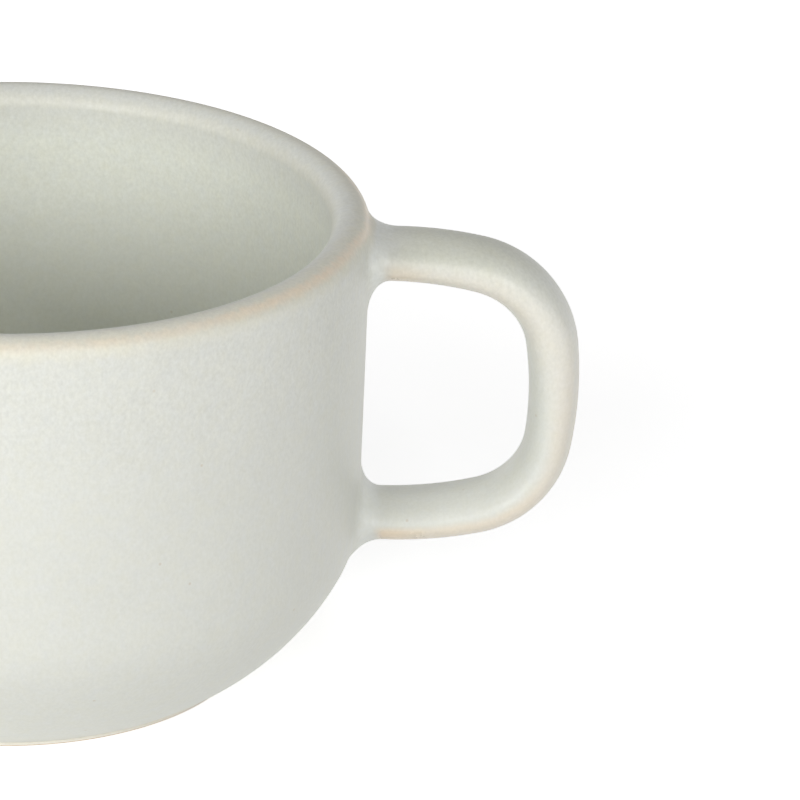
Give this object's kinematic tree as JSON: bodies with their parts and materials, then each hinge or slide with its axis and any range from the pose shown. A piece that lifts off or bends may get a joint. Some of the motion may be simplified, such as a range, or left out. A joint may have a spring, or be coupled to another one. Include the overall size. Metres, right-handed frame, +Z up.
{
  "type": "tea cup",
  "caption": "Low stoneware tea cup with a straight wall, a rounded lip and belly, a shallow foot ring and an oval loop handle luted to the wall, in a pale satin glaze.",
  "frame": {"origin": "centre of the foot ring's underside, on the cup's axis", "axes": "+Z up along the cup's axis, +X from the axis through the handle"},
  "size_m": [0.1242, 0.096, 0.0636],
  "materials": {
    "stoneware_glaze": "satin off-white glaze with a green-grey cast, thin and tan on edges, bare clay on the foot ring",
    "pooled_glaze": "thicker, cooler satin glaze gathered in the fillets"
  },
  "bodies": {
    "root": {"cup_body": "stoneware_glaze", "handle": "stoneware_glaze", "upper_handle_joint": "pooled_glaze", "lower_handle_joint": "pooled_glaze"}
  },
  "joints": []
}
